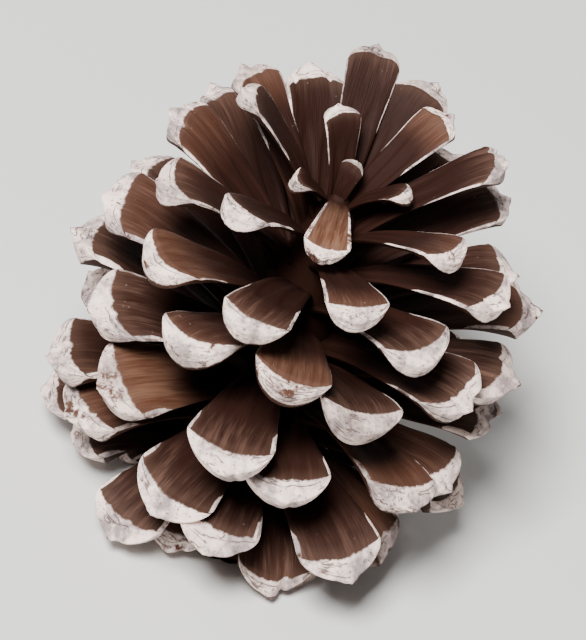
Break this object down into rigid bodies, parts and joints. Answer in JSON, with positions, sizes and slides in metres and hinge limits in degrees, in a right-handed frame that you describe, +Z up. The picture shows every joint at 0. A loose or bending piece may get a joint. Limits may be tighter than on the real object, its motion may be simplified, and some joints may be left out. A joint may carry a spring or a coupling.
{
  "type": "open black pine cone",
  "caption": "Dry, fully open pine cone with thick-ended woody scales set in a spiral on a tapering axis, standing on its base and short stalk stub.",
  "frame": {"origin": "middle of the flat cut end of the stalk, in the plane that the cone stands on", "axes": "+Z up along the cone's axis, from the stalk to the tip; +X and +Y are level, and the scales have no front"},
  "size_m": [0.0558, 0.0556, 0.0573],
  "materials": {
    "cone_wood": "matt dark brown cone wood, with a chalky off-white frosting on the thick outer end of each scale"
  },
  "bodies": {
    "root": {"pine_cone": "cone_wood"}
  },
  "joints": []
}
